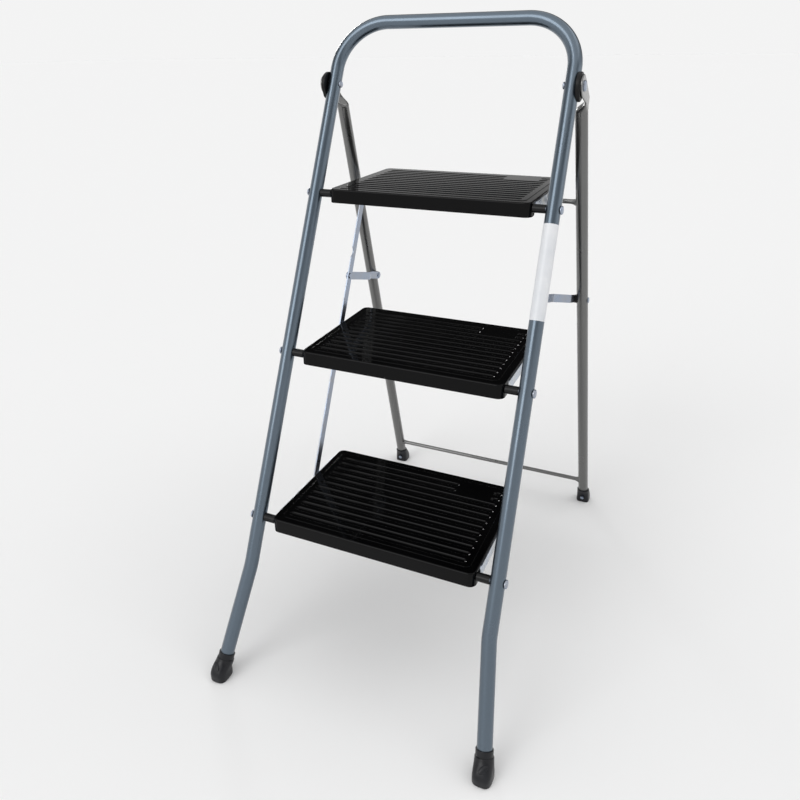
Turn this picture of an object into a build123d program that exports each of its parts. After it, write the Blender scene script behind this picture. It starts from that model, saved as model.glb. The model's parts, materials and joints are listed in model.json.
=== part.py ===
"""Folding three-step household step ladder with a hoop handle.

Millimetres. +X is to the right of someone climbing, +Y runs back under the treads and +Z is up.
The origin is on the floor, in the middle of the footprint. The ladder stands open.
"""

import os
from math import atan2, cos, degrees, radians, sin, tan

from build123d import *

os.makedirs("parts", exist_ok=True)

# Front frame: one tube bent into a hoop
front_tube_d = 22.0
front_tube_wall = 1.2
front_lean = 25.3
leg_spacing = 395.0
handle_height = 978.0
handle_bend = 80.0
foot_flare = 20.5
flare_height = 164.0
flare_bend = 160.0
front_tube_lift = 16.0

# Rear frame: two legs joined by two round bars
rear_tube_d = 20.0
rear_tube_wall = 1.2
stance = 707.5
pivot_drop = 96.0
rear_set_back = 30.0
rear_overhang = 7.8
rear_splay = 9.9
rear_tube_lift = 5.0
kink_drop = 22.0
flatten_length = 14.0
ear_thick = 2.8
ear_width = 33.0
ear_neck = 27.0
ear_edge_round = 1.1
crossbar_d = 8.0
lower_bar_height = 56.0
upper_bar_height = 694.0
weld_reach = 6.0
weld_spread = 4.2
weld_sink = 4.5
weld_drop = 2.0

# Top pivot
pivot_pin_d = 8.0
pivot_head_d = 16.0
pivot_head_high = 2.8
pivot_tail_d = 11.0
pivot_tail_high = 2.2
spacer_d = 40.0
spacer_thick = 4.0
spacer_wrap = 2.0
spacer_tail = 15.0
spacer_tip_d = 18.0
spacer_edge_round = 2.0

# Steps
step_names = ("lower", "middle", "upper")
first_axle_height = 234.3
riser = 240.0
axle_d = 8.0
axle_head_d = 13.0
axle_head_high = 3.2
sleeve_d = 13.0
tread_side_gap = 19.0
tread_depth = 228.0
tread_nose = 11.7
tread_rise = 10.3
tread_sheet = 1.2
tread_corner = 11.0
tread_edge_round = 2.0
lip_high = 23.0
lip_return = 22.0
lip_end_round = 9.0
lip_foot_round = 5.0
side_flange_high = 7.0
back_flange_high = 14.0
panel_inset = 11.5
panel_high = 0.7
panel_corner = 9.0
groove_count = 12
groove_pitch = 16.0
groove_wide = 8.0
groove_deep = 1.8
groove_end_inset = 20.0
last_groove_inset = 28.0
patch_left = 73.0
patch_right = 132.5
patch_rows = 2

# Side arms under each tread
arm_thick = 2.0
arm_above_axle = 7.0
arm_below_axle = 9.0
arm_sleeve_gap = 2.5
arm_length = 189.0
arm_round = 7.9

# Tie bars that join the steps, and links from the tie bars to the rear legs
strip_wide = 14.0
tie_thick = 2.2
tie_pin_back = 128.0
tie_pin_drop = 4.0
tie_pin_d = 5.0
strip_head_d = 10.0
strip_head_high = 1.6
head_round = 0.7
link_thick = 2.2
link_pin_rise = 86.7
link_rear_height = 508.0
link_bend_run = 48.0
link_rear_straight = 35.3
link_bend_round = 14.0
link_spacer_d = 15.0
link_spacer_thick = 3.0
scallop_d = 23.0
step_fold = 60.2

# Feet
boot_high = 40.5
boot_rim = 1.6
boot_waist_rim = 2.8
boot_waist_high = 28.0
boot_wide = 28.0
boot_toe = 13.8
boot_heel = 18.4
boot_inset = 1.2
boot_sole = 10.0
boot_corner = 6.0
cap_high = 31.0
cap_rim = 2.25
cap_wide = 26.0
cap_front = 14.0
cap_heel = 13.0
cap_sole = 6.0
cap_corner = 6.0
cap_pin_d = 5.0
cap_pin_head_d = 7.5
cap_pin_head_high = 1.2
cap_pin_height = 16.0

# Blank label on the right front leg
label_low = 567.0
label_high = 694.0
label_thick = 0.16
label_wrap = 210.0

# Clearances
running_gap = 0.05
seat_gap = 0.04
plate_gap = 0.4
pivot_gap = 0.3
cut_past = 1.0

# Places worked out from the sizes above
lean = radians(front_lean)
leg_half = leg_spacing / 2
foot_half = leg_half + foot_flare
front_r = front_tube_d / 2
rear_r = rear_tube_d / 2
tread_width = leg_spacing - front_tube_d - 2 * tread_side_gap
boot_top_d = front_tube_d + 2 * boot_rim
boot_waist_d = front_tube_d + 2 * boot_waist_rim
cap_top_d = rear_tube_d + 2 * cap_rim
pivot_height = handle_height - pivot_drop
front_floor_y = -(stance + cap_heel - boot_toe) / 2
up_frame = Vector(0, sin(lean), cos(lean))
behind_frame = Vector(0, cos(lean), -sin(lean))


def front_y(height):
    return front_floor_y + height * tan(lean)


pivot = Vector(0, front_y(pivot_height), pivot_height)
rear_top = Vector(leg_half + rear_overhang, pivot.Y + rear_set_back, pivot_height)
rear_floor = Vector(rear_top.X + rear_splay, front_floor_y + stance, 0)
rear_up = (rear_top - rear_floor).normalized()
rear_front = rear_up.cross(Vector(1, 0, 0)).normalized() * -1
axle_heights = [first_axle_height + riser * i for i in range(len(step_names))]
axles = [Vector(0, front_y(height), height) for height in axle_heights]
tie_reach = Vector(0, tie_pin_back, -tie_pin_drop)
arm_x = tread_width / 2
tie_x = arm_x + arm_thick + plate_gap
link_x = tie_x + tie_thick + plate_gap
leg_outer_x = leg_half + front_r
ear_x = leg_outer_x + spacer_thick + pivot_gap


def rear_axis(height):
    return rear_floor + rear_up * (height / rear_up.Z)


def x_rod(place, x_from, x_to, diameter):
    """A round rod along X through the given place."""
    start = Plane(origin=(x_from, place.Y, place.Z), x_dir=(0, 1, 0), z_dir=(1, 0, 0))
    return extrude(start * Circle(diameter / 2), x_to - x_from)


def x_head(place, x_from, diameter, high, way):
    """A domed rivet head that stands on x_from and points along +X or -X."""
    head = x_rod(place, x_from, x_from + way * high, diameter)
    rim = head.edges().sort_by(Axis.X)[-1 if way > 0 else 0]
    return fillet(rim, high * head_round)


def x_plate(sketch, x_from, thick):
    """A flat plate: a sketch in (Y, Z) with its thickness along +X."""
    return extrude(Plane(origin=(x_from, 0, 0), x_dir=(0, 1, 0), z_dir=(1, 0, 0)) * sketch, thick)


def strip_sketch(start, end, wide):
    """A flat bar in (Y, Z) with round ends about two pins."""
    run = end - start
    middle = (start + end) * 0.5
    turn = degrees(atan2(run.Z, run.Y))
    return Pos(middle.Y, middle.Z) * Rot(0, 0, turn) * SlotCenterToCenter(run.length, wide)


def axis_rod(start, way, length, diameter):
    return extrude(Plane(origin=start, z_dir=way) * Circle(diameter / 2), length)


def left_of(solid):
    return mirror(solid, about=Plane.YZ)


def save(node, *solids):
    shape = solids[0] if len(solids) == 1 else Compound(children=[Solid(s.solid().wrapped) for s in solids])
    export_step(shape, f"parts/{node}.step")


def save_pair(name, solid):
    save(f"{name}_right", solid)
    save(f"{name}_left", left_of(solid))


def front_frame_tube():
    plane = Plane(origin=(0, front_floor_y, 0), x_dir=(1, 0, 0), z_dir=-behind_frame)
    end_x = foot_half - (foot_half - leg_half) * front_tube_lift / flare_height
    end_s = front_tube_lift / cos(lean)
    bend_s = flare_height / cos(lean)
    top_s = handle_height / cos(lean)
    half = [(leg_half, top_s), (leg_half, bend_s), (end_x, end_s)]
    points = [(-x, s) for x, s in reversed(half)] + half
    path = plane * FilletPolyline(*points, radius=[flare_bend, handle_bend, handle_bend, flare_bend])
    start = Plane(origin=path @ 0, z_dir=path % 0)
    tube = sweep(start * Circle(front_r), path) - sweep(start * Circle(front_r - front_tube_wall), path)
    for place in axles:
        tube -= x_rod(place, -leg_outer_x, leg_outer_x, axle_d + 2 * seat_gap)
    return tube - x_rod(pivot, -leg_outer_x, leg_outer_x, pivot_pin_d + 2 * seat_gap)


def front_boot():
    floor = Vector(foot_half, front_floor_y, 0)
    bend = Vector(leg_half, front_y(flare_height), flare_height)
    way = (bend - floor).normalized()
    sole = Pos(foot_half - boot_inset, front_floor_y + (boot_heel - boot_toe) / 2) * RectangleRounded(
        boot_wide, boot_toe + boot_heel, boot_corner)
    across = Vector(1, 0, 0)
    waist = Plane(origin=floor + way * boot_waist_high, x_dir=across, z_dir=way) * Circle(boot_waist_d / 2)
    top = Plane(origin=floor + way * boot_high, x_dir=across, z_dir=way) * Circle(boot_top_d / 2)
    boot = extrude(sole, boot_sole) + loft([Pos(0, 0, boot_sole) * sole, waist]) + loft([waist, top])
    bore_start = floor + way * (front_tube_lift / way.Z - seat_gap)
    return boot - axis_rod(bore_start, way, boot_high, front_tube_d + 2 * seat_gap)


def pivot_spacer():
    tip = pivot - up_frame * spacer_tail
    disc = Pos(pivot.Y, pivot.Z) * Circle(spacer_d / 2)
    point = Pos(tip.Y, tip.Z) * Circle(spacer_tip_d / 2)
    outline = make_hull(disc.edges() + point.edges())
    block = x_plate(outline, leg_outer_x - spacer_wrap, spacer_wrap + spacer_thick)
    block = fillet(block.faces().sort_by(Axis.X)[-1].outer_wire().edges(), spacer_edge_round)
    leg_start = Vector(leg_half, pivot.Y, pivot.Z) - up_frame * spacer_d * 2
    leg = axis_rod(leg_start, up_frame, spacer_d * 4, front_tube_d + 2 * seat_gap)
    block -= leg
    block -= x_rod(pivot, leg_half, ear_x, pivot_pin_d + 2 * seat_gap)
    return block.solids().sort_by(Axis.X)[-1]


def pivot_rivet():
    ear_outer = ear_x + ear_thick + seat_gap
    inner = leg_half - front_r
    shank = x_rod(pivot, inner, ear_outer, pivot_pin_d)
    return (shank + x_head(pivot, ear_outer, pivot_head_d, pivot_head_high, 1)
            + x_head(pivot, inner, pivot_tail_d, pivot_tail_high, -1))


def step_axle(place):
    shank = x_rod(place, -leg_outer_x, leg_outer_x, axle_d)
    return (shank + x_head(place, leg_outer_x, axle_head_d, axle_head_high, 1)
            + x_head(place, -leg_outer_x, axle_head_d, axle_head_high, -1))


def axle_sleeve(place):
    start = tread_width / 2 + seat_gap
    end = leg_half - front_r - seat_gap
    return x_rod(place, start, end, sleeve_d) - x_rod(place, start, end, axle_d + 2 * running_gap)


def leg_label():
    start = Vector(leg_half, front_y(label_low), label_low)
    length = (label_high - label_low) / cos(lean)
    inner_d = front_tube_d + 2 * seat_gap
    sleeve = axis_rod(start, up_frame, length, inner_d + 2 * label_thick)
    sleeve -= axis_rod(start, up_frame, length, inner_d)
    edge = radians(label_wrap / 2 - 90)
    bare = Box(front_tube_d, front_tube_d, length + 2 * cut_past,
               align=(Align.CENTER, Align.MIN, Align.CENTER))
    bare = Pos(0, front_r * sin(edge), length / 2) * bare
    return sleeve - Plane(origin=start, x_dir=(1, 0, 0), z_dir=up_frame) * bare


def tread(place):
    front = place.Y - tread_nose
    back = front + tread_depth
    middle = (front + back) / 2
    top = place.Z + tread_rise
    rim = top - panel_high
    bottom = top - lip_high
    underside = rim - tread_sheet
    outline = RectangleRounded(tread_width, tread_depth, tread_corner)
    hollow = RectangleRounded(tread_width - 2 * tread_sheet, tread_depth - 2 * tread_sheet,
                              tread_corner - tread_sheet)
    shell = extrude(Pos(0, middle, bottom) * outline, rim - bottom)
    shell = fillet(shell.faces().sort_by(Axis.Z)[-1].outer_wire().edges(), tread_edge_round)
    shell -= extrude(Pos(0, middle, bottom) * hollow, underside - bottom)
    flange = rim - side_flange_high
    hem = rim - back_flange_high
    lip_back = front + lip_return
    hem_front = back - 2 * tread_sheet
    below = bottom - cut_past
    behind = back + cut_past
    cut = make_face(Polyline((lip_back, below), (lip_back, flange), (hem_front, flange),
                             (hem_front, hem), (behind, hem), (behind, below), close=True))
    corner = cut.vertices().group_by(Axis.X)[0].sort_by(Axis.Y)[-1]
    cut = fillet(corner, lip_end_round)
    shell -= x_plate(cut, -tread_width, 2 * tread_width)
    feet = shell.edges().filter_by(Axis.X).group_by(Axis.Z)[0].group_by(Axis.Y)[-1]
    shell = fillet(feet, lip_foot_round)
    panel = RectangleRounded(tread_width - 2 * panel_inset, tread_depth - 2 * panel_inset, panel_corner)
    shell += extrude(Pos(0, middle, rim) * panel, panel_high)
    end_x = tread_width / 2 - groove_end_inset
    for i in range(groove_count):
        y = back - last_groove_inset - groove_pitch * i
        runs = [(-end_x, end_x)]
        if i < patch_rows:
            runs = [(-end_x, patch_left), (patch_right, end_x)]
        for left, right in runs:
            spot = Pos((left + right) / 2, y, top - groove_deep)
            ridge = SlotOverall(right - left + 2 * tread_sheet, groove_wide + 2 * tread_sheet)
            shell += spot * extrude(Pos(0, 0, -tread_sheet) * ridge, groove_deep - panel_high)
            shell -= spot * extrude(SlotOverall(right - left, groove_wide), groove_deep)
    return shell - x_rod(place, -tread_width, tread_width, axle_d + 2 * running_gap)


def side_arm(place):
    low = place.Z - arm_below_axle
    high = place.Z + arm_above_axle
    near = place.Y + sleeve_d / 2 + arm_sleeve_gap
    outline = RectangleRounded(arm_length, high - low, arm_round)
    arm = x_plate(Pos(near + arm_length / 2, (low + high) / 2) * outline, arm_x, arm_thick)
    return arm - x_rod(place + tie_reach, arm_x, arm_x + arm_thick, tie_pin_d + 2 * running_gap)


tie_pins = [place + tie_reach for place in axles]
link_front = tie_pins[1] + up_frame * (link_pin_rise / cos(lean))
link_rear = rear_axis(link_rear_height)
link_rear_x = link_rear.X
link_rear = Vector(0, link_rear.Y, link_rear.Z)
link_way = (link_rear - link_front).normalized()
link_length = (link_rear - link_front).length
link_end_x = link_rear_x - rear_r - link_spacer_thick - pivot_gap - link_thick


def tie_bar():
    bar = x_plate(strip_sketch(tie_pins[0], tie_pins[-1], strip_wide), tie_x, tie_thick)
    for place in tie_pins + [link_front]:
        bar -= x_rod(place, tie_x, tie_x + tie_thick, tie_pin_d + 2 * seat_gap)
    swing = radians(step_fold)
    folded = Vector(0, tie_reach.Y * cos(swing) - tie_reach.Z * sin(swing),
                    tie_reach.Y * sin(swing) + tie_reach.Z * cos(swing))
    return bar - x_rod(axles[-1] - (folded - tie_reach), tie_x, tie_x + tie_thick, scallop_d)


def tie_rivet(place):
    shank = x_rod(place, arm_x, tie_x + tie_thick, tie_pin_d)
    washer = x_rod(place, arm_x + arm_thick + seat_gap, tie_x - seat_gap, strip_head_d)
    return shank + washer + x_head(place, tie_x + tie_thick, strip_head_d, strip_head_high, 1)


def link_front_rivet():
    outer = link_x + link_thick + seat_gap
    shank = x_rod(link_front, tie_x, outer, tie_pin_d)
    return (shank + x_head(link_front, outer, strip_head_d, strip_head_high, 1)
            + x_head(link_front, tie_x, strip_head_d, strip_head_high, -1))


def link():
    outside = link_x + link_thick / 2
    inside = link_end_x + link_thick / 2
    reach = strip_wide / 2
    bend_end = link_length - link_rear_straight
    points = [(-reach, outside), (bend_end - link_bend_run, outside),
              (bend_end, inside), (link_length + reach, inside)]
    across = Vector(1, 0, 0)
    plane = Plane(origin=link_front, x_dir=link_way, z_dir=link_way.cross(across))
    path = plane * FilletPolyline(*points, radius=link_bend_round)
    start = Plane(origin=path @ 0, x_dir=across, z_dir=path % 0)
    bar = sweep(start * Rectangle(link_thick, strip_wide), path)
    bar &= x_plate(strip_sketch(link_front, link_rear, strip_wide), 0, link_end_x + 2 * link_thick)
    return bar - x_rod(link_front, tie_x, link_x + 2 * link_thick, tie_pin_d + 2 * running_gap)


def link_rear_rivet():
    return x_head(link_rear, link_end_x, strip_head_d, strip_head_high, -1)


def rear_leg():
    kink = rear_axis(pivot_height - kink_drop)
    round_end = kink - rear_up * flatten_length
    side_up = Vector(0, rear_up.Y, rear_up.Z).normalized()
    side_back = Vector(0, side_up.Z, -side_up.Y) * (ear_neck / 2)
    foot = rear_axis(rear_tube_lift)
    leg = axis_rod(foot, rear_up, (round_end - foot).length, rear_tube_d)
    ring = Plane(origin=round_end, x_dir=(1, 0, 0), z_dir=rear_up) * Circle(rear_r)
    ear_middle = (ear_x + ear_thick / 2, kink.Y, kink.Z)
    flat = Plane(origin=ear_middle, x_dir=(1, 0, 0), z_dir=side_up) * RectangleRounded(
        ear_thick, ear_neck, ear_edge_round)
    leg += loft([ring, flat])
    eye = Pos(pivot.Y, pivot.Z) * Circle(ear_width / 2)
    front_end = kink - side_back
    back_end = kink + side_back
    neck = Line((front_end.Y, front_end.Z), (back_end.Y, back_end.Z))
    leg += x_plate(make_hull(eye.edges() + [neck]), ear_x, ear_thick)
    leg -= axis_rod(foot, rear_up, (round_end - foot).length, rear_tube_d - 2 * rear_tube_wall)
    leg -= x_rod(pivot, ear_x, ear_x + ear_thick, pivot_pin_d + 2 * running_gap)
    leg -= cap_pin(rear_tube_d, cap_pin_d + 2 * seat_gap)
    return leg - x_rod(link_rear, link_end_x, link_rear_x + rear_tube_d, tie_pin_d + 2 * seat_gap)


def rear_crossbar(height):
    end = rear_axis(height)
    centre = Vector(0, end.Y, end.Z)
    bar = x_rod(centre, -end.X, end.X, crossbar_d)
    foot_x = end.X - rear_r
    plane = Plane(origin=(foot_x - weld_reach, centre.Y, centre.Z), x_dir=(0, 1, 0), z_dir=(1, 0, 0))
    tip = plane * Circle(crossbar_d / 2)
    root = plane.offset(weld_reach + weld_sink) * Pos(0, -weld_drop) * Circle(crossbar_d / 2 + weld_spread)
    weld = loft([tip, root])
    bar = bar + weld + left_of(weld)
    leg = axis_rod(rear_axis(height - 4 * rear_tube_d), rear_up, 8 * rear_tube_d,
                   rear_tube_d + 2 * seat_gap)
    bar = bar - leg - left_of(leg)
    return bar.solids().sort_by(SortBy.VOLUME)[-1]


def rear_cap():
    sole = Pos(rear_floor.X, rear_floor.Y + (cap_heel - cap_front) / 2) * RectangleRounded(
        cap_wide, cap_front + cap_heel, cap_corner)
    top_centre = rear_axis(cap_high)
    top = Pos(top_centre.X, top_centre.Y, cap_high) * Circle(cap_top_d / 2)
    cap = extrude(sole, cap_sole) + loft([Pos(0, 0, cap_sole) * sole, top])
    cap -= axis_rod(rear_axis(rear_tube_lift - seat_gap), rear_up, 2 * cap_high, rear_tube_d + 2 * seat_gap)
    return cap - cap_pin(2 * cap_front, cap_pin_d + 2 * seat_gap)


def cap_pin(reach, diameter):
    """A rod from the middle of the rear leg out through the front of its foot."""
    return axis_rod(rear_axis(cap_pin_height), rear_front, reach, diameter)


def cap_rivet():
    face = cap_top_d / 2 + seat_gap
    centre = rear_axis(cap_pin_height)
    inside = rear_r - 2 * rear_tube_wall
    shank = axis_rod(centre + rear_front * inside, rear_front, face - inside, cap_pin_d)
    return shank + axis_rod(centre + rear_front * face, rear_front, cap_pin_head_high, cap_pin_head_d)


def link_spacer():
    start = link_end_x + link_thick + pivot_gap
    disc = x_rod(link_rear, start, link_rear_x, link_spacer_d)
    disc -= axis_rod(rear_axis(link_rear_height - 4 * rear_tube_d), rear_up, 8 * rear_tube_d,
                     rear_tube_d + 2 * seat_gap)
    disc -= x_rod(link_rear, start, link_rear_x, tie_pin_d + 2 * seat_gap)
    return disc.solids().sort_by(Axis.X)[0]


def leg_rivet():
    outer = link_rear_x + rear_r + abs(rear_splay) / pivot_height * strip_head_d
    shank = x_rod(link_rear, link_end_x + link_thick + pivot_gap, outer, tie_pin_d)
    return shank + x_head(link_rear, outer, strip_head_d, strip_head_high, 1)


save("front_frame_tube", front_frame_tube())
save_pair("front_foot", front_boot())
save_pair("pivot_spacer", pivot_spacer())
save_pair("top_pivot_rivet", pivot_rivet())
save("blank_leg_label", leg_label())
for name, place in zip(step_names, axles):
    save(f"{name}_axle", step_axle(place))
    sleeve = axle_sleeve(place)
    save(f"{name}_axle_sleeve", sleeve, left_of(sleeve))
    save(f"{name}_tread", tread(place))
    save_pair(f"{name}_side_arm", side_arm(place))
save_pair("tie_bar", tie_bar())
rivets = [tie_rivet(place) for place in tie_pins]
save("tie_rivets_right", *rivets)
save("tie_rivets_left", *[left_of(rivet) for rivet in rivets])
save_pair("link_front_rivet", link_front_rivet())
save_pair("rear_link", link())
save_pair("link_rear_rivet", link_rear_rivet())
save_pair("rear_leg", rear_leg())
save_pair("link_spacer", link_spacer())
save_pair("leg_rivet", leg_rivet())
save("upper_crossbar", rear_crossbar(upper_bar_height))
save("lower_crossbar", rear_crossbar(lower_bar_height))
save_pair("rear_foot", rear_cap())
save_pair("rear_foot_rivet", cap_rivet())
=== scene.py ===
import json
import math

import bmesh
import bpy
from mathutils import Matrix, Vector


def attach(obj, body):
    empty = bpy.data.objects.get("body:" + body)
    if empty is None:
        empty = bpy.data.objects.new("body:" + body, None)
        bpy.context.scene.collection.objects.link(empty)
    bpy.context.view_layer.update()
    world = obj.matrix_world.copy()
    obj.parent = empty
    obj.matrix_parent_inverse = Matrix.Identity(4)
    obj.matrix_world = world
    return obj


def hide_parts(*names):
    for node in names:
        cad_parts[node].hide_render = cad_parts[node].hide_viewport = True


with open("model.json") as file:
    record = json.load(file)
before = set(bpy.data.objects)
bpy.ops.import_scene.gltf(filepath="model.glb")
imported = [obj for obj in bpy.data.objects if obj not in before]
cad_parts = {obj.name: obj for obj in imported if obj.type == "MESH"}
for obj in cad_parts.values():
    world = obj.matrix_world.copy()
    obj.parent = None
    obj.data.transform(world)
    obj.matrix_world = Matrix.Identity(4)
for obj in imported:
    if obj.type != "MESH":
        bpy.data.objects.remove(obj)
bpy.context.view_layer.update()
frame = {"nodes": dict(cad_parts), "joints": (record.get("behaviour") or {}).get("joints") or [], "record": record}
nodes = frame["nodes"]
joints = {joint["name"]: joint for joint in frame["joints"]}
mm = 0.001
stepNames = ("lower", "middle", "upper")
sideNames = ("left", "right")
right = Vector((1, 0, 0))
back = Vector((0, 1, 0))
up = Vector((0, 0, 1))

# places that the frame already fixes
pivot = Vector(joints["rear_frame_fold"]["pos_m"])
axles = {name: Vector(joints[name + "_step_tilt"]["pos_m"]) for name in stepNames}
climb = axles["upper"] - axles["lower"]
lean = math.atan2(climb.y, climb.z)
frontFoot = axles["lower"].y - axles["lower"].z * math.tan(lean)  # where the front legs meet the floor
print("frame loaded:", len(nodes), "nodes")


# material helpers
noiseSpan = (0.3, 0.7)  # most values of a noise texture lie between these


def newFinish(name, settings):
    finish = bpy.data.materials.new(name)
    finish.use_nodes = True
    shader = finish.node_tree.nodes["Principled BSDF"]
    for socket, value in settings.items():
        shader.inputs[socket].default_value = value
    return finish, finish.node_tree, shader


def addNode(tree, kind, values=None, **options):
    node = tree.nodes.new(kind)
    for name, value in options.items():
        setattr(node, name, value)
    for socket, value in (values or {}).items():
        node.inputs[socket].default_value = value
    return node


def noiseOn(tree, scale, detail, roughness=0.5, stretch=None):
    spot = addNode(tree, "ShaderNodeTexCoord").outputs["Object"]
    if stretch:
        mapping = addNode(tree, "ShaderNodeMapping", {"Scale": stretch})
        tree.links.new(spot, mapping.inputs["Vector"])
        spot = mapping.outputs["Vector"]
    noise = addNode(tree, "ShaderNodeTexNoise", {"Scale": scale, "Detail": detail, "Roughness": roughness})
    tree.links.new(spot, noise.inputs["Vector"])
    return noise.outputs["Fac"]


def rampOn(tree, value, stops):
    ramp = addNode(tree, "ShaderNodeValToRGB")
    marks = ramp.color_ramp.elements
    for mark, (position, color) in ((marks[0], stops[0]), (marks[1], stops[-1])):
        mark.position = position
        mark.color = (*color, 1)
    for position, color in stops[1:-1]:
        marks.new(position).color = (*color, 1)
    tree.links.new(value, ramp.inputs["Fac"])
    return ramp.outputs["Color"]


def rangeOn(tree, value, span, ends, **options):
    node = addNode(tree, "ShaderNodeMapRange", {
        "From Min": span[0], "From Max": span[1], "To Min": ends[0], "To Max": ends[1]}, **options)
    tree.links.new(value, node.inputs["Value"])
    return node


# a finish in three layers: mottled colour, uneven gloss and a fine skin;
# gloss and skin share the colour's noise unless they have one of their own
def layeredFinish(name, look):
    finish, tree, shader = newFinish(name, look["shader"])
    mottle = noiseOn(tree, **look["mottle"])
    gloss = noiseOn(tree, **look["glossNoise"]) if "glossNoise" in look else mottle
    skin = noiseOn(tree, **look["skinNoise"]) if "skinNoise" in look else mottle
    tree.links.new(rampOn(tree, mottle, look["colors"]), shader.inputs["Base Color"])
    roughness = rangeOn(tree, gloss, noiseSpan, look["roughness"])
    tree.links.new(roughness.outputs["Result"], shader.inputs["Roughness"])
    bump = addNode(tree, "ShaderNodeBump", {"Strength": look["skin"], "Distance": look["skinDeep"] * mm})
    tree.links.new(skin, bump.inputs["Height"])
    tree.links.new(bump.outputs["Normal"], shader.inputs["Normal"])
    return finish


# metallic paint of the frames: fine flake in the colour, slow changes of gloss and an orange-peel skin
paintLook = {
    "shader": {"Metallic": 0.95, "Coat Weight": 0.6, "Coat Roughness": 0.07},
    "mottle": {"scale": 2600, "detail": 1}, "flakeTones": ((0.35, 0.86), (0.65, 1.14)),
    "glossNoise": {"scale": 9, "detail": 3},
    "skinNoise": {"scale": 420, "detail": 1}, "skin": 0.05, "skinDeep": 0.1}


def metallicPaint(name, color, roughness):
    colors = [(position, [part * share for part in color]) for position, share in paintLook["flakeTones"]]
    return layeredFinish(name, {**paintLook, "colors": colors, "roughness": roughness})


frontPaint = metallicPaint("blueGreyPaint", (0.108, 0.141, 0.177), (0.26, 0.35))
rearPaint = metallicPaint("warmGreyPaint", (0.150, 0.150, 0.148), (0.24, 0.33))

# zinc plating of the strips: cool to warm cloudy patches and a faintly wavy skin
zincLook = {
    "shader": {"Metallic": 1.0}, "mottle": {"scale": 55, "detail": 4, "roughness": 0.6},
    "stops": (0.3, 0.52, 0.75), "roughness": (0.24, 0.38),
    "skinNoise": {"scale": 900, "detail": 2, "stretch": (1, 0.06, 0.06)}, "skin": 0.1, "skinDeep": 0.05}


def zincPlate(name, *colors):
    return layeredFinish(name, {**zincLook, "colors": list(zip(zincLook["stops"], colors))})


stripZinc = zincPlate("stripZinc", (0.30, 0.355, 0.45), (0.335, 0.375, 0.45), (0.38, 0.39, 0.42))
# the arms' zinc is the strips' zinc painted paler: painted light for the bright reflection the arms catch
armZincPaintedBright = zincPlate("armZincPaintedBright", (0.46, 0.52, 0.63), (0.52, 0.56, 0.61), (0.60, 0.59, 0.56))

# gloss enamel of the treads, with faint smears and a slightly uneven skin
blackEnamel = layeredFinish("blackEnamel", {
    "shader": {"Specular IOR Level": 0.13}, "mottle": {"scale": 14, "detail": 5, "roughness": 0.6},
    "colors": [(0.3, (0.0008, 0.0008, 0.001)), (0.75, (0.002, 0.002, 0.0022))], "roughness": (0.05, 0.1),
    "skinNoise": {"scale": 120, "detail": 1}, "skin": 0.03, "skinDeep": 0.1})

# satin black of the sleeves, drawn out along the axle
satinBlack = layeredFinish("satinBlack", {
    "shader": {"Specular IOR Level": 0.25}, "mottle": {"scale": 60, "detail": 3, "stretch": (0.05, 1, 1)},
    "colors": [(0.3, (0.002, 0.002, 0.0024)), (0.7, (0.005, 0.005, 0.0055))], "roughness": (0.24, 0.38),
    "skin": 0.12, "skinDeep": 0.1})

# rubber of the feet, a little scuffed; the faint blue in its colour is painted reflection of a bluish sheen
footRubber = layeredFinish("footRubber", {
    "shader": {"Specular IOR Level": 0.35}, "mottle": {"scale": 70, "detail": 5, "roughness": 0.65},
    "colors": [(0.35, (0.003, 0.0034, 0.005)), (0.8, (0.009, 0.01, 0.014))], "roughness": (0.26, 0.46),
    "skinNoise": {"scale": 1400, "detail": 2}, "skin": 0.2, "skinDeep": 0.1})

# moulded plastic of the spacers
spacerPlastic = layeredFinish("spacerPlastic", {
    "shader": {"Specular IOR Level": 0.25}, "mottle": {"scale": 900, "detail": 2},
    "colors": [(0.3, (0.003, 0.003, 0.0034)), (0.7, (0.006, 0.006, 0.0066))], "roughness": (0.3, 0.46),
    "skin": 0.15, "skinDeep": 0.1})

# white film of the blank label, with slow waves
labelFilm = layeredFinish("labelFilm", {
    "shader": {"Coat Weight": 0.2, "Coat Roughness": 0.2}, "mottle": {"scale": 40, "detail": 3},
    "colors": [(0.3, (0.66, 0.68, 0.71)), (0.7, (0.74, 0.75, 0.77))], "roughness": (0.34, 0.46),
    "skin": 0.15, "skinDeep": 0.2})

finishes = {"front_frame_paint": frontPaint, "rear_frame_paint": rearPaint, "tread_enamel": blackEnamel,
            "sleeve_black": satinBlack, "foot_rubber": footRubber, "spacer_plastic": spacerPlastic,
            "label_white": labelFilm, "zinc_plated_steel": stripZinc}
slotOf = {part["node"]: part["material_slot"] for part in frame["record"]["subparts"]}
for name, node in nodes.items():
    node.data.materials.clear()
    node.data.materials.append(finishes[slotOf[name]])
print("finishes:", len(finishes))


# modelling helpers
pointNear = 0.005 * mm  # points closer than this are one
edgeNear = 0.1 * mm  # a smaller length or distance doesn't count when edges are picked
plainRound = 2.0  # squareness of a circle


def pickUp(piece=None):
    if bpy.context.object and bpy.context.object.mode != "OBJECT":
        bpy.ops.object.mode_set(mode="OBJECT")
    bpy.ops.object.select_all(action="DESELECT")
    if piece:
        piece.select_set(True)
        bpy.context.view_layer.objects.active = piece


def editOn(piece, kind, test):
    pickUp(piece)
    bpy.ops.object.mode_set(mode="EDIT")
    bpy.ops.mesh.select_mode(type=kind)
    bpy.ops.mesh.select_all(action="DESELECT")
    work = bmesh.from_edit_mesh(piece.data)
    for part in {"VERT": work.verts, "EDGE": work.edges, "FACE": work.faces}[kind]:
        part.select_set(bool(test(part)))
    work.select_flush_mode()
    bmesh.update_edit_mesh(piece.data)


def editOff():
    bpy.ops.object.mode_set(mode="OBJECT")


def bevelEdges(piece, test, width, steps):
    editOn(piece, "EDGE", test)
    bpy.ops.mesh.bevel(offset=width, segments=steps, affect="EDGES")
    editOff()


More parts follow.
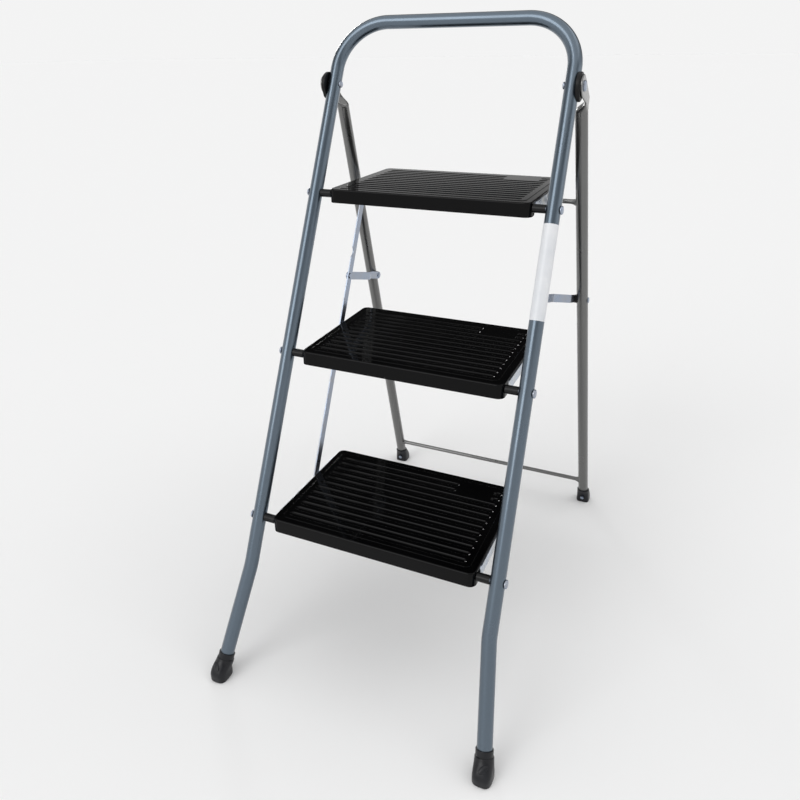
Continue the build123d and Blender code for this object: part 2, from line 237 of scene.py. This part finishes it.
def applyModifier(piece, kind, **options):
    pickUp(piece)
    modifier = piece.modifiers.new(kind.lower(), kind)
    for name, value in options.items():
        setattr(modifier, name, value)
    bpy.ops.object.modifier_apply(modifier=modifier.name)


def carve(piece, tool, operation="DIFFERENCE"):
    applyModifier(piece, "BOOLEAN", object=tool, operation=operation, solver="EXACT")
    bpy.data.objects.remove(tool)


def joinAll(pieces):
    pickUp(pieces[0])
    for piece in pieces[1:]:
        piece.select_set(True)
    bpy.ops.object.join()
    return pieces[0]


def tidySkin(piece):
    editOn(piece, "VERT", lambda corner: True)
    bpy.ops.mesh.remove_doubles(threshold=pointNear)
    bpy.ops.mesh.normals_make_consistent(inside=False)
    editOff()


def smoothSkin(piece, crease=35):
    pickUp(piece)
    bpy.ops.object.shade_smooth_by_angle(angle=math.radians(crease))
    applyModifier(piece, "WEIGHTED_NORMAL", keep_sharp=True)


def copyOf(piece, name, shift=(0, 0, 0), mirrored=False):
    twin = piece.copy()
    twin.data = piece.data.copy()
    twin.name = name
    bpy.context.scene.collection.objects.link(twin)
    twin.location = shift
    if mirrored:
        twin.scale.x = -1
    pickUp(twin)
    bpy.ops.object.transform_apply(location=True, rotation=True, scale=True)
    if mirrored:
        tidySkin(twin)
        smoothSkin(twin)
    return twin


def addBlock(low, high):
    pickUp()
    bpy.ops.mesh.primitive_cube_add(size=1, location=(Vector(low) + Vector(high)) / 2,
                                    scale=Vector(high) - Vector(low))
    bpy.ops.object.transform_apply(location=True, rotation=True, scale=True)
    return bpy.context.object


def isUpright(edge):
    return abs(edge.verts[0].co.z - edge.verts[1].co.z) > edgeNear


def isAtHeight(edge, height):
    return all(abs(corner.co.z - height) < pointNear for corner in edge.verts)


def isSharp(edge, angle):
    return len(edge.link_faces) == 2 and edge.calc_face_angle(0) > math.radians(angle)


# one cross-section: a circle when square is plainRound, nearer an oblong as it grows
def ovalRing(middle, across, along, halfAcross, halfAlong, count, square=plainRound):
    points = []
    for step in range(count):
        turn = 2 * math.pi * step / count
        reach = [math.copysign(abs(part) ** (2 / square), part) for part in (math.cos(turn), math.sin(turn))]
        points.append(middle + across * halfAcross * reach[0] + along * halfAlong * reach[1])
    return points


# a ring drawn out into a skin, section after section, and closed at both ends
def skinRings(name, rings):
    pickUp()
    count = len(rings[0])
    bpy.ops.mesh.primitive_circle_add(vertices=count)
    piece = bpy.context.object
    piece.name = name
    bpy.ops.object.mode_set(mode="EDIT")
    bpy.ops.mesh.select_all(action="SELECT")
    for ring in rings[1:]:
        bpy.ops.mesh.extrude_edges_move()
    editOff()
    for corner, spot in zip(piece.data.vertices, [spot for ring in rings for spot in ring]):
        corner.co = spot
    last = len(piece.data.vertices) - count
    for ends in (lambda corner: corner.index < count, lambda corner: corner.index >= last):
        editOn(piece, "VERT", ends)
        bpy.ops.mesh.edge_face_add()
        editOff()
    tidySkin(piece)
    return piece


def mix(first, second, share):
    return first + (second - first) * share


def ease(share):
    share = min(max(share, 0.0), 1.0)
    return share * share * (3 - 2 * share)


def place(piece, body, slot, *replaced):
    piece.data.materials.clear()
    piece.data.materials.append(finishes[slot])
    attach(piece, body)
    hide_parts(*replaced)


# the piece on the right side, and its mirrored twin on the left
def placePair(piece, twinName, body, slot, node):
    twin = copyOf(piece, twinName, mirrored=True)
    place(piece, body, slot, node + "_right")
    place(twin, body, slot, node + "_left")


# pressed tread: a slab with a raised panel, grooved, hollowed to a sheet and trimmed to its flanges
treadShape = {
    "nose": 11.7, "rise": 10.3, "wide": 335, "deep": 228, "sheet": 1.2,
    "corner": 11, "cornerSteps": 10, "edge": 2.2, "edgeSteps": 5,
    "panelInset": 11.5, "panelHigh": 0.7, "panelCorner": 9, "panelCornerSteps": 8,
    "panelEdge": 0.45, "panelEdgeSteps": 3,
    "grooves": 12, "pitch": 16, "lastGroove": 28, "grooveEnd": 20, "grooveEndLong": 5.7, "grooveSteps": 12,
    "grooveDeep": 1.8, "dishRadius": 3, "dishStep": 10, "dishTop": 2.4,
    "across": {"flat": 1.8, "turn": 60, "slope": 61}, "runOut": {"flat": 1.6, "turn": 30, "slope": 28},
    "grooveRim": 0.5, "rimSteps": 3, "rimAngle": 19,
    "patch": (73, 132.5), "patchRows": 2,  # the short rows leave a bare rectangle
    "lip": 23, "lipReturn": 22, "lipEnd": 9, "lipEndSteps": 8,
    "lipFoot": 5, "lipFootSteps": 6, "footAngle": 50,
    "sideFlange": 7, "backFlange": 14, "axleHole": 8.3, "holeSides": 48}


def roundSlab(low, high, corner, steps):
    slab = addBlock(low, high)
    bevelEdges(slab, isUpright, corner, steps)
    return slab


# a slab with a raised panel, drawn in all round by the thickness of the sheet when it is the hollow
def addPanelSlab(front, rear, top, bottom, drawnIn=0.0):
    size = treadShape
    half = size["wide"] / 2 * mm - drawnIn
    rim = top - size["panelHigh"] * mm
    inset = size["panelInset"] * mm
    slab = roundSlab((-half, front + drawnIn, bottom), (half, rear - drawnIn, rim),
                     size["corner"] * mm - drawnIn, size["cornerSteps"])
    bevelEdges(slab, lambda edge: isAtHeight(edge, rim), size["edge"] * mm - drawnIn, size["edgeSteps"])
    panel = roundSlab((-half + inset, front + drawnIn + inset, rim - inset / 2),
                      (half - inset, rear - drawnIn - inset, top),
                      size["panelCorner"] * mm, size["panelCornerSteps"])
    bevelEdges(panel, lambda edge: isAtHeight(edge, top), size["panelEdge"] * mm, size["panelEdgeSteps"])
    carve(slab, panel, "UNION")
    return slab


def grooveRows(rear):
    size = treadShape
    end = size["wide"] / 2 - size["grooveEnd"]
    for row in range(size["grooves"]):
        y = rear - (size["lastGroove"] + size["pitch"] * row) * mm
        runs = [(-end, end)]
        if row < size["patchRows"]:
            runs = [(-end, size["patch"][0]), (size["patch"][1], end)]
        for start, stop in runs:
            yield start * mm, stop * mm, y


# half a groove at a height over its floor: round from the flat up to its turn, then a straight slope
def dishHalf(high, dish):
    radius = treadShape["dishRadius"]
    turn = math.radians(dish["turn"])
    bend = radius * (1 - math.cos(turn))
    if high > bend:
        return dish["flat"] + radius * math.sin(turn) + (high - bend) / math.tan(math.radians(dish["slope"]))
    return dish["flat"] + math.sqrt(radius ** 2 - (radius - high) ** 2)


# height, half width and run-out of each level of a groove, to a hundredth of a millimetre
def grooveLevels():
    size = treadShape
    turns = range(0, size["across"]["turn"] + 1, size["dishStep"])
    heights = [size["dishRadius"] * (1 - math.cos(math.radians(turn))) for turn in turns]
    for high in heights + [size["dishTop"]]:
        level = (high, dishHalf(high, size["across"]), dishHalf(high, size["runOut"]))
        yield [round(part, 2) for part in level]


# two rounded ends with straight sides between them
def stadiumRing(start, stop, y, z, endLong, halfWide):
    steps = treadShape["grooveSteps"]
    points = []
    for middle, turn in ((stop, -90), (start, 90)):
        for step in range(steps + 1):
            angle = math.radians(turn + 180 * step / steps)
            points.append(Vector((middle + endLong * math.cos(angle), y + halfWide * math.sin(angle), z)))
    return points


# every groove as one joined tool, dished across and with a longer run-out at each end;
# a grown tool leaves the pressed side of the sheet underneath
def addGrooves(rear, top, grown=0.0):
    size = treadShape
    floor = top - size["grooveDeep"] * mm - grown
    inset = size["grooveEndLong"] * mm
    levels = [(floor + high * mm, runOut * mm + grown, halfWide * mm + grown)
              for high, halfWide, runOut in grooveLevels()]
    levels.append((top + size["lip"] * mm, *levels[-1][1:]))  # straight up, clear of the tread
    tools = []
    for start, stop, y in grooveRows(rear):
        rings = [stadiumRing(start + inset, stop - inset, y, z, endLong, halfWide)
                 for z, endLong, halfWide in levels]
        tools.append(skinRings("groove", rings))
    return joinAll(tools)


def treadEdges(axle):
    size = treadShape
    front = axle.y - size["nose"] * mm
    top = axle.z + size["rise"] * mm
    return front, front + size["deep"] * mm, top, top - size["lip"] * mm


def pressTread(axle):
    size = treadShape
    front, rear, top, bottom = treadEdges(axle)
    sheet = size["sheet"] * mm
    tread = addPanelSlab(front, rear, top, bottom)
    carve(tread, addGrooves(rear, top))
    bevelEdges(tread, lambda edge: isAtHeight(edge, top) and isSharp(edge, size["rimAngle"]),
               size["grooveRim"] * mm, size["rimSteps"])
    hollow = addPanelSlab(front, rear, top - sheet, bottom - sheet, sheet)
    carve(hollow, addGrooves(rear, top, sheet))
    carve(tread, hollow)
    return tread


# sides and back are cut up to their flanges, and the ends of the front lip get a hole for the axle
def trimTread(tread, axle):
    size = treadShape
    front, rear, top, bottom = treadEdges(axle)
    sheet = size["sheet"] * mm
    wide = size["wide"] * mm
    clear = 2 * sheet  # the side cut stops this far short of the back, and the back cut overlaps it
    sideFlange = top - (size["panelHigh"] + size["sideFlange"]) * mm
    backFlange = top - (size["panelHigh"] + size["backFlange"]) * mm
    lipBack = front + size["lipReturn"] * mm

    def isLipEnd(edge):
        return isAtHeight(edge, sideFlange) and all(corner.co.y < lipBack + sheet for corner in edge.verts)

    def isLipFoot(edge):
        isAcross = abs(edge.verts[0].co.x - edge.verts[1].co.x) > sheet / 2
        isLow = all(abs(corner.co.y - lipBack) < edgeNear and corner.co.z < bottom + edgeNear
                    for corner in edge.verts)
        return isAcross and isLow and isSharp(edge, size["footAngle"])

    sideCut = addBlock((-wide, lipBack, bottom - sheet), (wide, rear - clear, sideFlange))
    bevelEdges(sideCut, isLipEnd, size["lipEnd"] * mm, size["lipEndSteps"])
    carve(tread, sideCut)
    carve(tread, addBlock((-wide, rear - 2 * clear, bottom - sheet), (wide, rear + sheet, backFlange)))
    bevelEdges(tread, isLipFoot, size["lipFoot"] * mm, size["lipFootSteps"])
    pickUp()
    bpy.ops.mesh.primitive_cylinder_add(vertices=size["holeSides"], radius=size["axleHole"] / 2 * mm,
                                        depth=2 * wide, location=axle, rotation=(0, math.pi / 2, 0))
    carve(tread, bpy.context.object)
    tidySkin(tread)
    smoothSkin(tread)


middleTread = pressTread(axles["middle"])
middleTread.name = "middleTread"
trimTread(middleTread, axles["middle"])
treads = {"middle": middleTread}
for name in ("lower", "upper"):
    treads[name] = copyOf(middleTread, name + "Tread", axles[name] - axles["middle"])
for name, tread in treads.items():
    place(tread, name + "_step", "tread_enamel", name + "_tread")
print("treads:", len(middleTread.data.polygons), "faces each")


# hoop of the front frame: a round section led up one leg, over the handle and down the other
hoopShape = {
    "radius": 11, "legHalf": 197.5, "footHalf": 218, "flareHigh": 164, "flareBend": 160,
    "top": 978, "handleBend": 80, "lift": 16, "steps": 26, "sides": 48}


# straight stretches between corners that are rounded by their bends
def bendPath(corners, bends, steps):
    path = [corners[0]]
    for index, bend in enumerate(bends, 1):
        corner = corners[index]
        inward = (corners[index - 1] - corner).normalized()
        outward = (corners[index + 1] - corner).normalized()
        half = inward.angle(outward) / 2
        middle = corner + (inward + outward).normalized() * (bend / math.sin(half))
        start = corner + inward * (bend / math.tan(half))
        stop = corner + outward * (bend / math.tan(half))
        for step in range(steps + 1):
            spoke = (start - middle).normalized().slerp((stop - middle).normalized(), step / steps)
            path.append(middle + spoke * bend)
    return path + [corners[-1]]


def makeHoop():
    size = hoopShape
    radius = size["radius"] * mm
    rise = Vector((0, math.sin(lean), math.cos(lean))) / math.cos(lean)
    origin = Vector((0, frontFoot, 0))
    endX = size["footHalf"] - (size["footHalf"] - size["legHalf"]) * size["lift"] / size["flareHigh"]
    half = [(endX, size["lift"]), (size["legHalf"], size["flareHigh"]), (size["legHalf"], size["top"])]
    corners = [origin + right * (-x * mm) + rise * (z * mm) for x, z in half]
    corners += [origin + right * (x * mm) + rise * (z * mm) for x, z in reversed(half)]
    bends = [size[name] * mm for name in ("flareBend", "handleBend", "handleBend", "flareBend")]
    path = bendPath(corners, bends, size["steps"])
    flat = right.cross(rise).normalized()
    rings = []
    for index, spot in enumerate(path):
        ahead = (path[min(index + 1, len(path) - 1)] - path[max(index - 1, 0)]).normalized()
        rings.append(ovalRing(spot, ahead.cross(flat), flat, radius, radius, size["sides"]))
    return skinRings("frontHoop", rings)


frontHoop = makeHoop()
smoothSkin(frontHoop)
place(frontHoop, "front_frame", "front_frame_paint", "front_frame_tube")
print("hoop:", len(frontHoop.data.polygons), "faces")


# rubber boot: a flat sole that draws in to a round collar, with a ledge under it and an oval pad in front
bootShape = {
    "inset": 1.2, "toe": 13.8, "heel": 18.4, "sides": 40, "crease": 50,
    "sole": [(0, 12.4, 14.5), (0.5, 13.3, 15.4), (1.6, 13.9, 16.0), (9.4, 14.0, 16.1)],  # height, half sizes
    "soleSquare": 3.2, "neck": (11, 30), "neckHalf": 13.5, "neckRings": 9,
    "collar": [(30.6, 13.45), (31.2, 13.2), (31.5, 12.7), (31.7, 12.35), (33, 12.4),  # way up the leg, radius
               (39.6, 12.6), (40.2, 12.45), (40.5, 12.1), (40.5, 11.5), (40.0, 11.15), (36, 11.1)],
    "pad": (8.0, 4.2, 1.6), "padAlong": 19.5, "padAside": 3.5, "padSink": 0.35, "padTurn": 42,
    "padAim": 60, "padSides": 32}


# the pad is aimed at the boot from in front, and sunk a little into it
def addPad(boot, aim, along):
    size = bootShape
    hit, normal = boot.ray_cast(aim - along * size["padAim"] * mm, along)[1:3]
    pickUp()
    bpy.ops.mesh.primitive_uv_sphere_add(
        segments=size["padSides"], ring_count=size["padSides"] // 2, radius=1,
        location=hit - normal * size["padSink"] * mm, rotation=normal.to_track_quat("Z", "Y").to_euler(),
        scale=[part * mm for part in size["pad"]])
    pad = bpy.context.object
    pad.rotation_euler.rotate_axis("Z", math.radians(size["padTurn"]))
    bpy.ops.object.transform_apply(location=True, rotation=True, scale=True)
    carve(boot, pad, "UNION")


def makeBoot():
    size = bootShape
    count = size["sides"]
    flareHigh = hoopShape["flareHigh"] * mm
    sole = Vector((hoopShape["footHalf"] * mm, frontFoot, 0))
    bend = Vector((hoopShape["legHalf"] * mm, frontFoot + flareHigh * math.tan(lean), flareHigh))
    way = (bend - sole).normalized()
    across = (right - way * way.x).normalized()
    along = way.cross(across)
    middle = sole + Vector((-size["inset"], (size["heel"] - size["toe"]) / 2, 0)) * mm
    rings = [ovalRing(middle + up * z * mm, right, back, wide * mm, deep * mm, count, size["soleSquare"])
             for z, wide, deep in size["sole"]]
    high, wide, deep = size["sole"][-1]
    low, top = size["neck"]
    for step in range(1, size["neckRings"] + 1):
        share = step / size["neckRings"]
        drawn = ease(share)
        reach = mix(low, top, share) * mm
        spot = mix(middle + up * mix(high, top * way.z, share) * mm, sole + way * reach, drawn)
        sideways = mix(right, across, share).normalized()
        backwards = mix(back, along, share).normalized()
        halfWide = mix(wide, size["neckHalf"], share) * mm
        halfDeep = mix(deep, size["neckHalf"], drawn) * mm
        rings.append(ovalRing(spot, sideways, backwards, halfWide, halfDeep, count,
                              mix(size["soleSquare"], plainRound, drawn)))
    rings += [ovalRing(sole + way * reach * mm, across, along, radius * mm, radius * mm, count)
              for reach, radius in size["collar"]]
    boot = skinRings("rightBoot", rings)
    addPad(boot, mix(middle, sole, 0.5) + (way * size["padAlong"] + right * size["padAside"]) * mm, along)
    return boot


rightBoot = makeBoot()
smoothSkin(rightBoot, bootShape["crease"])
placePair(rightBoot, "leftBoot", "front_frame", "foot_rubber", "front_foot")
print("boots:", len(rightBoot.data.polygons), "faces each")


# rear leg: a round tube whose top is pressed flat against its outer side and bent forward to the pivot
rearShape = {
    "radius": 10, "topX": 205.3, "splay": 9.9, "setBack": 30, "floorY": 707.5, "lift": 5, "tubeRings": 12,
    "kinkDrop": 22, "pressLength": 17, "pressRings": 14, "neck": 27, "earX": 212.8, "earThick": 2.8,
    "earWide": 33, "earSquare": 5, "lineSteps": 10, "curveSteps": 20, "sides": 48, "crease": 50}
rearTop = Vector((rearShape["topX"] * mm, pivot.y + rearShape["setBack"] * mm, pivot.z))
rearFloor = Vector((rearTop.x + rearShape["splay"] * mm, frontFoot + rearShape["floorY"] * mm, 0))
rearUp = (rearTop - rearFloor).normalized()


def rearAxis(height):
    return rearFloor + rearUp * (height / rearUp.z)


# one edge of the ear: straight from the neck to the round about the pivot, then on to the tip
def earEdge(start, eye, tip, turnWay):
    size = rearShape
    reach = size["earWide"] / 2 * mm
    spoke = start - eye
    first = math.atan2(spoke.z, spoke.y) - turnWay * math.acos(reach / spoke.length)
    sweep = (tip - first) % (2 * math.pi)
    if turnWay > 0:
        sweep -= 2 * math.pi
    turns = [first + sweep * step / size["curveSteps"] for step in range(size["curveSteps"])]
    curve = [eye + Vector((0, math.cos(turn), math.sin(turn))) * reach for turn in turns]
    line = [mix(start, curve[0], step / size["lineSteps"]) for step in range(1, size["lineSteps"] + 1)]
    return line + curve[1:]


def makeRearLeg():
    size = rearShape
    side = Vector((0, rearUp.y, rearUp.z)).normalized()
    behind = Vector((0, side.z, -side.y))
    kinkHeight = pivot.z - size["kinkDrop"] * mm
    pressHeight = kinkHeight - size["pressLength"] * mm
    radius = size["radius"] * mm
    neckHalf = size["neck"] / 2 * mm
    inner = size["earX"] * mm
    outer = inner + size["earThick"] * mm
    rings = []
    for step in range(size["tubeRings"] + 1):
        spot = rearAxis(mix(size["lift"] * mm, pressHeight, step / size["tubeRings"]))
        rings.append(ovalRing(spot, right, behind, radius, radius, size["sides"]))
    for step in range(1, size["pressRings"] + 1):
        share = step / size["pressRings"]
        pressed = ease(share)
        spot = rearAxis(mix(pressHeight, kinkHeight, share))
        low = mix(spot.x - radius, inner, pressed)
        high = mix(spot.x + radius, outer, pressed)
        spot.x = (low + high) / 2
        rings.append(ovalRing(spot, right, behind, (high - low) / 2, mix(radius, neckHalf, pressed),
                              size["sides"], mix(plainRound, size["earSquare"], share)))
    kink = rearAxis(kinkHeight)
    kink.x = 0
    eye = Vector((0, pivot.y, pivot.z))
    tip = math.atan2(eye.z - kink.z, eye.y - kink.y)
    frontEdge = earEdge(kink - behind * neckHalf, eye, tip, 1)
    rearEdge = earEdge(kink + behind * neckHalf, eye, tip, -1)
    for front, rear in zip(frontEdge, rearEdge):
        spot = (front + rear) / 2 + right * (inner + outer) / 2
        rings.append(ovalRing(spot, right, (rear - front).normalized(), (outer - inner) / 2,
                              (rear - front).length / 2, size["sides"], size["earSquare"]))
    return skinRings("rightRearLeg", rings)


rightRearLeg = makeRearLeg()
smoothSkin(rightRearLeg, rearShape["crease"])
placePair(rightRearLeg, "leftRearLeg", "rear_frame", "rear_frame_paint", "rear_leg")
print("rear legs:", len(rightRearLeg.data.polygons), "faces each")


# crossbars: a round rod that flares into its weld at each leg
barShape = {
    "radius": 4, "heights": {"lower_crossbar": 56, "upper_crossbar": 694}, "sides": 32, "crease": 50,
    "reach": 9, "spread": 4.2, "sink": 4.5, "drop": 2, "flareRings": 12, "flarePower": 2.2}


def makeCrossbar(name, height):
    size = barShape
    end = rearAxis(height * mm)
    face = end.x - rearShape["radius"] * mm
    half = []
    for step in range(size["flareRings"] + 1):
        share = step / size["flareRings"]
        x = mix(face + size["sink"] * mm, face - size["reach"] * mm, share)
        flare = (1 - share) ** size["flarePower"]
        half.append((x, (size["radius"] + size["spread"] * flare) * mm, size["drop"] * flare * mm))
    sections = [(-x, radius, drop) for x, radius, drop in half] + list(reversed(half))
    rings = [ovalRing(Vector((x, end.y, end.z - drop)), back, up, radius, radius, size["sides"])
             for x, radius, drop in sections]
    return skinRings(name, rings)


for name, height in barShape["heights"].items():
    bar = makeCrossbar("rod_" + name, height)
    smoothSkin(bar, barShape["crease"])
    place(bar, "rear_frame", "rear_frame_paint", name)
print("crossbars:", len(barShape["heights"]))


# rear cap: a small wedge foot around the end of the rear leg
capShape = {
    "sole": [(0, 11.6, 12.2), (0.5, 12.4, 13.0), (1.4, 12.9, 13.4), (6, 13, 13.5)],  # height, half sizes
    "soleSquare": 4.6, "front": 14, "heel": 13, "top": 29.6, "topHalf": 12.25, "wallRings": 7,
    "rim": [(30.4, 12.15), (30.9, 11.8), (31, 11.2),
            (30.8, 10.5), (30.2, 10.15), (26, 10.1)],  # height, radius
    "sides": 40, "crease": 50}


def makeCap():
    size = capShape
    count = size["sides"]
    middle = rearFloor + back * (size["heel"] - size["front"]) / 2 * mm
    rings = [ovalRing(middle + up * z * mm, right, back, wide * mm, deep * mm, count, size["soleSquare"])
             for z, wide, deep in size["sole"]]
    low, wide, deep = size["sole"][-1]
    for step in range(1, size["wallRings"] + 1):
        share = step / size["wallRings"]
        height = mix(low, size["top"], share)
        spot = mix(middle + up * height * mm, rearAxis(height * mm), share)
        rings.append(ovalRing(spot, right, back, mix(wide, size["topHalf"], share) * mm,
                              mix(deep, size["topHalf"], share) * mm, count,
                              mix(size["soleSquare"], plainRound, ease(share))))
    rings += [ovalRing(rearAxis(height * mm), right, back, radius * mm, radius * mm, count)
              for height, radius in size["rim"]]
    return skinRings("rightCap", rings)


rightCap = makeCap()
smoothSkin(rightCap, capShape["crease"])
placePair(rightCap, "leftCap", "rear_frame", "foot_rubber", "rear_foot")
print("rear caps:", len(rightCap.data.polygons), "faces each")


# flat strips: the CAD outline with its edges broken
stripShape = {"edge": 0.3, "edgeSteps": 2, "edgeAngle": 50, "flatAngle": 1, "crease": 40}


def softenStrip(node, body):
    size = stripShape
    strip = nodes[node].copy()
    strip.data = nodes[node].data.copy()
    strip.parent = None
    strip.name = "soft_" + node
    for key in list(strip.keys()):  # what marks the original as a CAD node
        del strip[key]
    bpy.context.scene.collection.objects.link(strip)
    pickUp(strip)
    bpy.ops.mesh.customdata_custom_splitnormals_clear()
    tidySkin(strip)
    editOn(strip, "FACE", lambda face: True)
    bpy.ops.mesh.dissolve_limited(angle_limit=math.radians(size["flatAngle"]))
    editOff()
    applyModifier(strip, "BEVEL", width=size["edge"] * mm, segments=size["edgeSteps"], limit_method="ANGLE",
                  angle_limit=math.radians(size["edgeAngle"]), use_clamp_overlap=False)
    smoothSkin(strip, size["crease"])
    place(strip, body, slotOf[node], node)
    return strip


for side in sideNames:
    for step in stepNames:
        arm = softenStrip(f"{step}_side_arm_{side}", step + "_step")
        arm.data.materials[0] = armZincPaintedBright  # paler than the other strips: painted light for the bright reflection the arms catch
    softenStrip("tie_bar_" + side, side + "_tie")
    softenStrip("rear_link_" + side, side + "_link")
print("strips softened")


# floor, light and camera
studio = {
    "floorSize": 120,
    "floorPaper": {"Base Color": (0.92, 0.92, 0.92, 1), "Roughness": 0.9, "Specular IOR Level": 0.0},
    "wall": 0.9, "wallTop": (0.1, 0.26), "wallRise": 0.22, "riseEnd": (0.1, 0.6),
    "room": 0.26, "dark": 0.03, "turnOver": 0.35}
suns = {
    "key": {"power": 0.8, "spread": 34, "azimuth": -24, "high": 30},
    "top": {"power": 1.6, "spread": 100, "azimuth": 0, "high": 90},
    "fill": {"power": 0.5, "spread": 60, "azimuth": 115, "high": 35},
    "window": {"power": 0.4, "spread": 11, "azimuth": -140, "high": 12}}
cameraView = {
    "place": (0.42582, -1.0553, 0.94159), "azimuth": 24.51, "elevation": 19.12, "roll": -0.95,
    "lens": 32.996, "sensor": 36, "shiftY": -0.1254}


def makeFloor():
    pickUp()
    bpy.ops.mesh.primitive_plane_add(size=studio["floorSize"])
    floor = bpy.context.object
    floor.name = "floor"
    floor.data.materials.append(newFinish("floorPaper", studio["floorPaper"])[0])


def smoothStepOn(tree, value, span, ends):
    return rangeOn(tree, value, span, ends, interpolation_type="SMOOTHSTEP")


# a pale wall all round, lower behind, with a dim room above it in front and darkness above it behind
def makeWorld():
    world = bpy.data.worlds.new("studio")
    bpy.context.scene.world = world
    world.use_nodes = True
    tree = world.node_tree
    split = addNode(tree, "ShaderNodeSeparateXYZ")
    tree.links.new(addNode(tree, "ShaderNodeTexCoord").outputs["Generated"], split.inputs["Vector"])
    depth = split.outputs["Y"]
    turnOver = studio["turnOver"]
    above = smoothStepOn(tree, depth, (-turnOver, turnOver), (studio["room"], studio["dark"]))
    rise = smoothStepOn(tree, depth, studio["riseEnd"], (studio["wallRise"], 0))
    height = addNode(tree, "ShaderNodeMath", operation="SUBTRACT")
    tree.links.new(split.outputs["Z"], height.inputs[0])
    tree.links.new(rise.outputs["Result"], height.inputs[1])
    level = smoothStepOn(tree, height.outputs["Value"], studio["wallTop"], (studio["wall"], studio["room"]))
    tree.links.new(above.outputs["Result"], level.inputs["To Max"])
    background = tree.nodes["Background"]
    background.inputs["Color"].default_value = (1, 1, 1, 1)
    tree.links.new(level.outputs["Result"], background.inputs["Strength"])


# azimuth is counted from the front of the stool, towards its right side
def addSun(name, settings):
    lamp = bpy.data.lights.new(name, "SUN")
    lamp.energy = settings["power"]
    lamp.angle = math.radians(settings["spread"])
    sun = bpy.data.objects.new(name, lamp)
    sun.rotation_euler = (math.radians(90 - settings["high"]), 0, math.radians(settings["azimuth"]))
    bpy.context.scene.collection.objects.link(sun)


def addCamera():
    camera = bpy.data.objects.new("camera", bpy.data.cameras.new("camera"))
    bpy.context.scene.collection.objects.link(camera)
    camera.data.lens = cameraView["lens"]
    camera.data.sensor_width = cameraView["sensor"]
    camera.data.shift_y = cameraView["shiftY"]
    tilt = math.radians(90 - cameraView["elevation"])
    turn = math.radians(cameraView["azimuth"])
    roll = math.radians(cameraView["roll"])
    camera.matrix_world = (Matrix.Translation(cameraView["place"]) @ Matrix.Rotation(turn, 4, "Z")
                           @ Matrix.Rotation(tilt, 4, "X") @ Matrix.Rotation(roll, 4, "Z"))
    bpy.context.scene.camera = camera


makeFloor()
makeWorld()
for name, settings in suns.items():
    addSun(name, settings)
addCamera()
bpy.context.scene.view_settings.view_transform = "Standard"
print("studio set")
